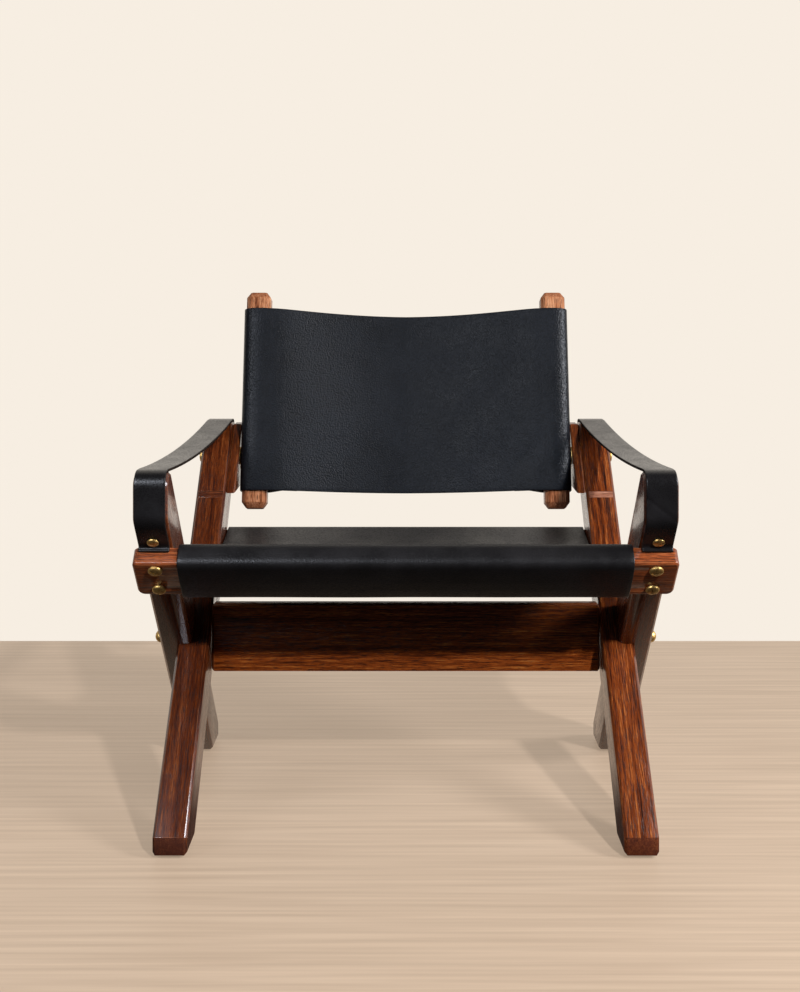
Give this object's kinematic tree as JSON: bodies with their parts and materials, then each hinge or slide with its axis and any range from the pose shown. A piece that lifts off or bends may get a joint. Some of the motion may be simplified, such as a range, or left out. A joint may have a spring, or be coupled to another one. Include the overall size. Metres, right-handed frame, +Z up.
{
  "type": "leather sling lounge chair",
  "caption": "Low lounge chair of lapped, crossing wooden legs with a leather sling seat, leather arm straps and a leather back that turns on bolts.",
  "frame": {"origin": "middle of the footprint on the floor, under the centre of the chair's bounding box", "axes": "+Z up, -Y is the front of the seat, +X is the sitter's left"},
  "size_m": [0.7248, 0.5606, 0.7221],
  "materials": {
    "wood": "satin lacquered brown hardwood",
    "dark_wood": "satin lacquered dark strip",
    "leather": "black saddle leather with a fine pebble grain",
    "brass": "worn brass",
    "steel": "zinc plated",
    "plastic": "black nylon glide"
  },
  "bodies": {
    "frame": {"upright_leg_right": "wood", "upright_leg_left": "wood", "arm_leg_right": "wood", "arm_leg_left": "wood", "upright_band_right": "dark_wood", "upright_band_left": "dark_wood", "cross_stretcher": "wood", "barrel_nut_right": "steel", "barrel_nut_left": "steel", "glide_front_right": "plastic", "glide_front_left": "plastic", "glide_rear_right": "plastic", "glide_rear_left": "plastic", "crossing_bolt_right": "brass", "crossing_bolt_left": "brass", "crossing_washer_right": "brass", "crossing_washer_left": "brass", "front_rail": "wood", "front_rail_screw_upper_right": "brass", "front_rail_screw_upper_left": "brass", "front_rail_screw_lower_right": "brass", "front_rail_screw_lower_left": "brass", "rear_rail": "wood", "rear_rail_screw_upper_right": "brass", "rear_rail_screw_upper_left": "brass", "rear_rail_screw_lower_right": "brass", "rear_rail_screw_lower_left": "brass", "seat_leather": "leather", "arm_strap_right": "leather", "arm_strap_left": "leather", "strap_screw_front_right": "brass", "strap_screw_front_left": "brass", "strap_screw_rear_right": "brass", "strap_screw_rear_left": "brass", "pivot_block_right": "wood", "pivot_block_left": "wood", "block_screw_lower_right": "brass", "block_screw_lower_left": "brass", "block_screw_upper_right": "brass", "block_screw_upper_left": "brass", "pivot_bolt_right": "brass", "pivot_bolt_left": "brass", "pivot_washer_right": "brass", "pivot_washer_left": "brass", "spacer_washer_right": "brass", "spacer_washer_left": "brass"},
    "back": {"back_post_right": "wood", "back_post_left": "wood", "back_leather": "leather"}
  },
  "joints": [
    {"name": "back_tilt", "type": "hinge", "parent": "frame", "child": "back", "pos_m": [0, 0.1888, 0.4614], "axis": [1, 0, 0], "range_deg": [-20, 105]}
  ]
}
